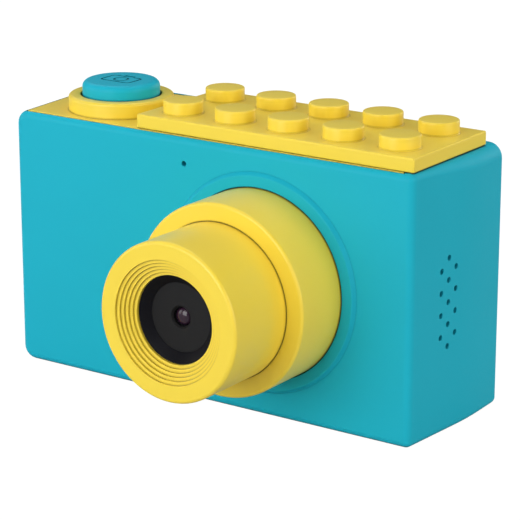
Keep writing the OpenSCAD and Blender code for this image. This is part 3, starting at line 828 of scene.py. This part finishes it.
def sign(kind, x, z, y):
    """Cutters for the generic sign on a rear button, seen from behind."""
    low, high = y - SIGN_DEPTH, y + 1
    if kind == "dot":
        return [prism(circle(x, z, 0.9), low, high, "y")]
    if kind == "bars":
        bars = [round_rect(x, z + dz, 2.2, 0.35, 0.105) for dz in (-0.7, 0, 0.7)]
        return [prism(bar, low, high, "y") for bar in bars]
    if kind == "power":
        return power_sign(x, z, low, high)
    turn = {"up": 90, "down": -90, "left": 0, "right": 180}[kind]
    corners = [math.radians(turn + a) for a in (0, 120, 240)]
    return [prism([(x + math.cos(a) * 1.1, z + math.sin(a) * 1.1) for a in corners], low, high, "y")]


def rear_key(node):
    """One rear button: a stem, a flange behind the wall and a cap with its sign."""
    low, high = box_mm(node)
    x, z = middle(node)
    r = key_radius(node)
    flange_top = BACK_Y - WALL - FLANGE_PLAY
    flange_low = flange_top - KEY_FLANGE_H
    cap = lathe([(0, low.y, 0), (KEY_STEM_R, low.y, 0), (KEY_STEM_R, flange_low, 0),
                 (r + FLANGE, flange_low, 0), (r + FLANGE, flange_top, 0), (r, flange_top, 0),
                 (r, high.y, KEY_ROUND), (0, high.y, 0)], (x, 0, z), "y", 64)
    return carve(cap, sign(KEYS[node], x, z, high.y))


def cover_pivot(r, extra):
    """A rod along the cover's hinge line, past both of its ends by extra."""
    low, high = box_mm("usb_cover")
    centre = ((COVER_FACE + high.x) / 2, low.y + (high.x - COVER_FACE) / 2, 0)
    bottom, top = low.z - extra, high.z + extra
    return lathe([(0, bottom, 0), (r, bottom, 0), (r, top, 0), (0, top, 0)], centre, "z", 32)


def usb_cover():
    """A flap with a round hinge edge, a pivot at each of its ends and a rib for a fingernail."""
    low, high = box_mm("usb_cover")
    round_edge = (high.x - COVER_FACE) / 2 - 0.01
    outline = fillet([(COVER_FACE, low.y, round_edge), (high.x, low.y, round_edge),
                      (high.x, high.y, 0.15), (COVER_FACE, high.y, 0.3)], True)
    flap = prism(outline, low.z + PIVOT_LEN, high.z - PIVOT_LEN, "z", top_round=0.12, bottom_round=0.12)
    z = (low.z + high.z) / 2
    rib = rounded_box((low.x, high.y - 1.2, z - RIB_LEN / 2),
                      (COVER_FACE + 0.2, high.y - 0.4, z + RIB_LEN / 2), 0.15)
    return carve(flap, [rib, cover_pivot(PIVOT_R, 0)], "UNION")


def case_screw(x, z):
    """A pan-head screw with a cross recess."""
    top = BACK_Y - SCREW_SINK
    head = top - SCREW_HEAD_H
    screw = lathe([(0, top - SCREW_LEN, 0), (SCREW_SHANK_R, top - SCREW_LEN + 1, 0),
                   (SCREW_SHANK_R, head, 0), (SCREW_HEAD_R, head, 0), (SCREW_HEAD_R, top, 0.35),
                   (0, top, 0)], (x, 0, z), "y", 40)
    long, thin, bottom = CROSS_ARM, CROSS_HALF, top - CROSS_DEPTH
    cross = [rounded_box((x - long, bottom, z - thin), (x + long, top + 1, z + thin), 0),
             rounded_box((x - thin, bottom, z - long), (x + thin, top + 1, z + long), 0)]
    return carve(screw, cross)


def case_screws():
    """The four screws that hold the shells together."""
    return join([case_screw(x, z) for x in (-SCREW_X, SCREW_X) for z in SCREW_Z])


def status_light():
    """The end of the light guide, with a rounded tip."""
    low, high = LIGHT_BOX
    x, z = middle("status_light")
    r = (high.x - low.x) / 2
    return lathe([(0, low.y, 0), (r, low.y, 0), (r, high.y, 0.2), (0, high.y, 0)], (x, 0, z), "y", 40)


def shutter_spring():
    """A coil spring of round wire: turns close at both ends and open in between."""
    low, high = box_mm("shutter_spring")
    wire, turns, per_turn, sides = 0.3, 6.5, 32, 10
    radius = (high.x - low.x) / 2 - wire
    count = int(turns * per_turn)
    rings = []
    for k in range(count + 1):
        t = k / count
        a = 2 * math.pi * turns * t
        z = low.z + wire + (high.z - low.z - 2 * wire) * (t - math.sin(2 * math.pi * t) / (2 * math.pi))
        out = Vector((math.cos(a), math.sin(a), 0))
        middle_line = Vector(SHUTTER_AT) + out * radius + Vector((0, 0, z))
        ring = []
        for s in range(sides):
            b = 2 * math.pi * s / sides
            ring.append(middle_line + out * (wire * math.cos(b)) + Vector((0, 0, wire * math.sin(b))))
        rings.append(ring)
    return loft(rings)


# ---------------------------------------------------------------- all pieces
def case_pieces():
    """The shells and everything on top of them."""
    piece("front_shell_look", front_shell(), "case", "teal_plastic", TEAL, ["front_shell"])
    piece("rear_shell_look", rear_shell(), "case", "teal_plastic", TEAL, ["rear_shell"])
    piece("top_cover_look", top_cover(), "case", "yellow_plastic", YELLOW, ["top_cover"])
    piece("brick_plate_look", brick_plate(), "case", "yellow_plastic", YELLOW, ["brick_plate"])
    piece("shutter_collar_look", shutter_collar(), "case", "yellow_plastic", YELLOW, ["shutter_collar"])
    piece("shutter_button_look", shutter_button(), "shutter_button", "teal_plastic", TEAL,
          ["shutter_button"])


def lens_pieces():
    """The barrels and what is inside the front one."""
    piece("outer_barrel_look", outer_barrel(), "case", "yellow_plastic", YELLOW, ["lens_outer_barrel"])
    piece("inner_barrel_look", inner_barrel(), "case", "yellow_plastic", YELLOW, ["lens_inner_barrel"],
          sharp=25)
    piece("lens_shroud_look", lens_shroud(), "case", "black_plastic", BLACK, ["lens_shroud"])
    piece("lens_disc_look", lens_disc(), "case", "dark_plastic", DARK, ["lens_disc"])
    piece("front_lens_look", front_lens(), "case", "coated_glass", GLASS, ["front_lens"])


def back_pieces():
    """Everything in the back, and the cover in the left side."""
    piece("screen_window_look", screen_window(), "case", "window_plastic", WINDOW, ["screen_window"])
    for node in KEYS:
        piece(node + "_look", rear_key(node), node, "yellow_plastic", YELLOW, [node])
    piece("usb_cover_look", usb_cover(), "usb_cover", "teal_rubber", RUBBER, ["usb_cover"])
    piece("case_screws_look", case_screws(), "case", "steel", STEEL, ["case_screws"])
    piece("status_light_look", status_light(), "case", "light_guide", GUIDE, ["status_light"])


def spring_piece():
    """The coil spring under the shutter button, on a mesh of its own."""
    spring = piece("shutter_spring_look", shutter_spring(), "case", "spring_steel", STEEL,
                   ["shutter_spring"])
    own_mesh(spring)


# ---------------------------------------------------------------- floor, light and camera
def floor():
    """A round pale floor. The camera sees it nearly white, and it lights the object as grey."""
    bm = bmesh.new()
    bmesh.ops.create_circle(bm, cap_ends=True, radius=FLOOR_R, segments=96)
    obj = to_object("floor", bm)
    material = bpy.data.materials.new("floor_white")
    material.use_nodes = True
    tree = material.node_tree
    shader = tree.nodes["Principled BSDF"]
    shader.inputs["Base Color"].default_value = FLOOR_COLOUR
    shader.inputs["Roughness"].default_value = 0.9
    glow = node_of(tree, "ShaderNodeEmission", Strength=FLOOR_GLOW)
    share = tree.nodes.new("ShaderNodeMath")
    share.operation = "MULTIPLY"
    share.inputs[1].default_value = FLOOR_GLOW_SHARE
    blend = tree.nodes.new("ShaderNodeMixShader")
    tree.links.new(tree.nodes.new("ShaderNodeLightPath").outputs["Is Camera Ray"], share.inputs[0])
    tree.links.new(share.outputs["Value"], blend.inputs[0])
    tree.links.new(shader.outputs[0], blend.inputs[1])
    tree.links.new(glow.outputs[0], blend.inputs[2])
    tree.links.new(blend.outputs[0], tree.nodes["Material Output"].inputs["Surface"])
    obj.data.materials.append(material)


def studio():
    """A dim world that gives the object little light and shows the camera a white backdrop."""
    world = bpy.data.worlds.new("studio")
    bpy.context.scene.world = world
    world.use_nodes = True
    tree = world.node_tree
    dim = tree.nodes["Background"]
    dim.inputs["Color"].default_value = AMBIENT_COLOUR
    dim.inputs["Strength"].default_value = AMBIENT
    white = node_of(tree, "ShaderNodeBackground", Color=(1, 1, 1, 1), Strength=1.0)
    blend = tree.nodes.new("ShaderNodeMixShader")
    tree.links.new(tree.nodes.new("ShaderNodeLightPath").outputs["Is Camera Ray"], blend.inputs[0])
    tree.links.new(dim.outputs[0], blend.inputs[1])
    tree.links.new(white.outputs[0], blend.inputs[2])
    tree.links.new(blend.outputs[0], tree.nodes["World Output"].inputs["Surface"])


def direction(azimuth, elevation):
    """A unit vector, from angles in degrees: azimuth from the front towards +X, and elevation up."""
    a, e = math.radians(azimuth), math.radians(elevation)
    return Vector((math.sin(a) * math.cos(e), -math.cos(a) * math.cos(e), math.sin(e)))


def light(name, azimuth, elevation, power, colour=(1, 1, 1), distance=1.5):
    """A soft square light that faces the middle of the object from a distance in metres."""
    data = bpy.data.lights.new(name, "AREA")
    data.size = LIGHT_SPREAD * distance
    data.energy = power
    data.color = colour
    obj = bpy.data.objects.new(name, data)
    bpy.context.scene.collection.objects.link(obj)
    back = direction(azimuth, elevation)
    obj.location = back * distance + LIT_AT
    obj.rotation_mode = "QUATERNION"
    obj.rotation_quaternion = (-back).to_track_quat("-Z", "Y")


def lights():
    """Soft light from the front, weaker light on the sides and the top, and some from behind."""
    light("front", -7, 11, 2.85, distance=0.7)
    light("upper_front", 0, 36, 3.9)
    light("left", -60, 10, 7.0)
    light("right", 88, 18, 11.4, (0.98, 0.94, 0.88))
    light("top", 180, 70, 5.4, (0.95, 1.0, 1.1))
    light("rear_left", -120, 45, 3.6)
    light("rear", 165, 5, 6.0)


def camera():
    """The camera, which looks at the front and the right-hand side from a little above."""
    data = bpy.data.cameras.new("camera")
    data.lens = CAMERA_LENS
    data.sensor_width = 36
    data.clip_start = 0.01
    data.clip_end = 20
    obj = bpy.data.objects.new("camera", data)
    bpy.context.scene.collection.objects.link(obj)
    towards_camera = direction(CAMERA_AZIMUTH, CAMERA_ELEVATION)
    obj.location = LOOK_AT + towards_camera * CAMERA_DISTANCE
    obj.rotation_mode = "QUATERNION"
    obj.rotation_quaternion = (-towards_camera).to_track_quat("-Z", "Y")
    bpy.context.scene.camera = obj


finish_cad_nodes()
case_pieces()
lens_pieces()
back_pieces()
spring_piece()
studio()
floor()
lights()
camera()
bpy.context.scene.view_settings.view_transform = "Standard"
